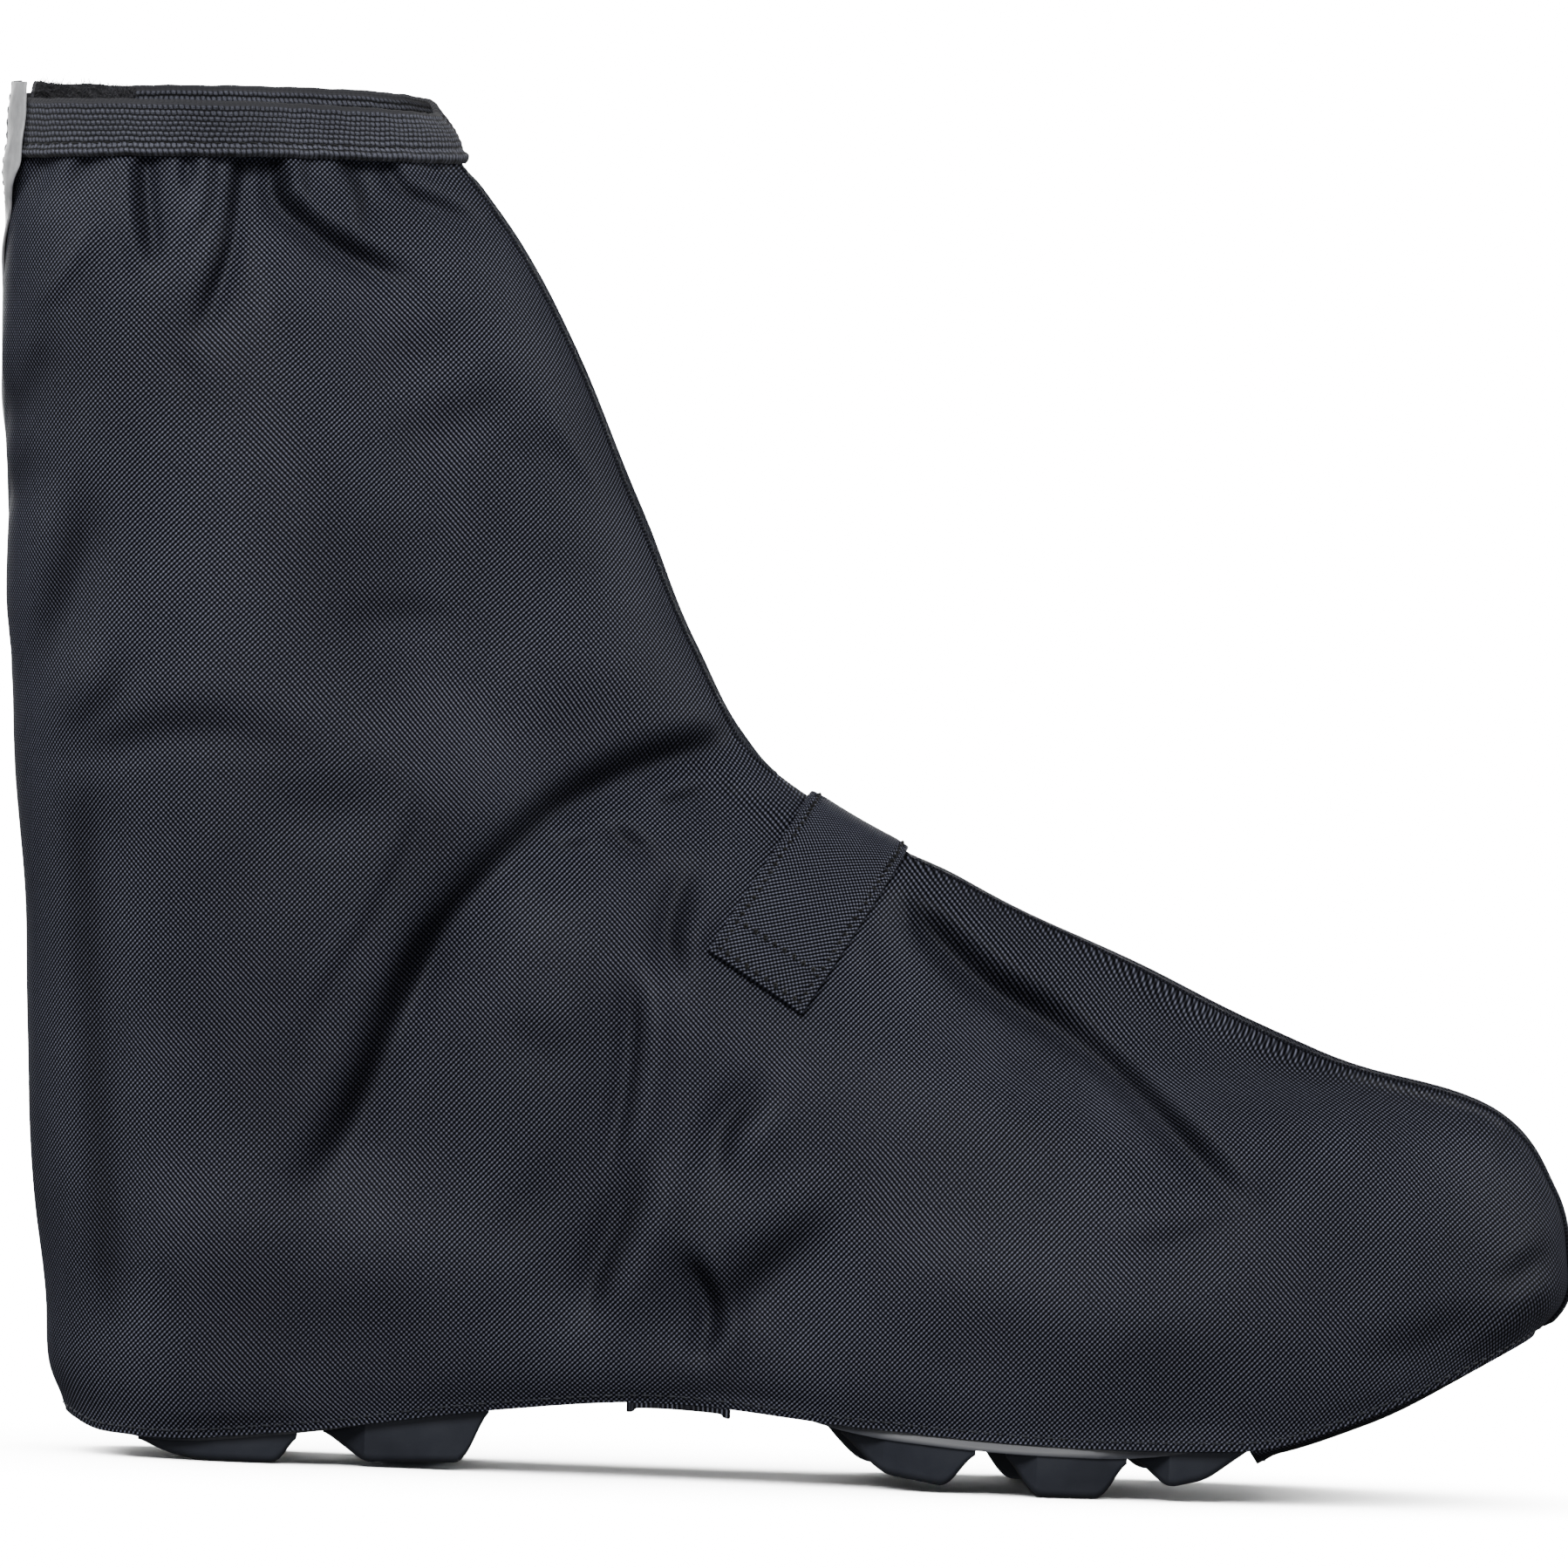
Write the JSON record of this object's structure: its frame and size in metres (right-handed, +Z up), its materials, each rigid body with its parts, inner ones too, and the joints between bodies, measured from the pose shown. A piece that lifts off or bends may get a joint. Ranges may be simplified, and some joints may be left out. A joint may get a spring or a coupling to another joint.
{
  "type": "cycling overshoe",
  "caption": "Tall hollow woven rain overshoe for a right foot, with an elastic collar, an instep strap, an underfoot strap and a lugged rubber sole.",
  "frame": {"origin": "middle of the bounding box's underside, on the floor that the lugs stand on", "axes": "+X from heel to toe, +Y to the medial (inner) side of a right foot, +Z up along the shaft"},
  "size_m": [0.3422, 0.1108, 0.2893],
  "materials": {
    "woven_fabric": "plain weave, coated inside",
    "sole_rubber": "satin moulded",
    "ribbed_elastic": "ribbed knit elastic",
    "strap_fabric": "folded and edge-stitched weave",
    "seam_binding": "woven binding",
    "reflective_tape": "retro-reflective, satin",
    "loop_pile": "hook-and-loop pile",
    "toe_fabric": "abrasion-resistant weave",
    "underfoot_webbing": "bound webbing"
  },
  "bodies": {
    "root": {"upper": "woven_fabric", "outsole": "sole_rubber", "collar_band": "ribbed_elastic", "instep_strap": "strap_fabric", "front_seam_shaft": "seam_binding", "front_seam_foot": "seam_binding", "reflective_tape": "reflective_tape", "rear_flap": "woven_fabric", "loop_patch": "loop_pile", "toe_panel": "toe_fabric", "underfoot_strap": "underfoot_webbing"}
  },
  "joints": []
}
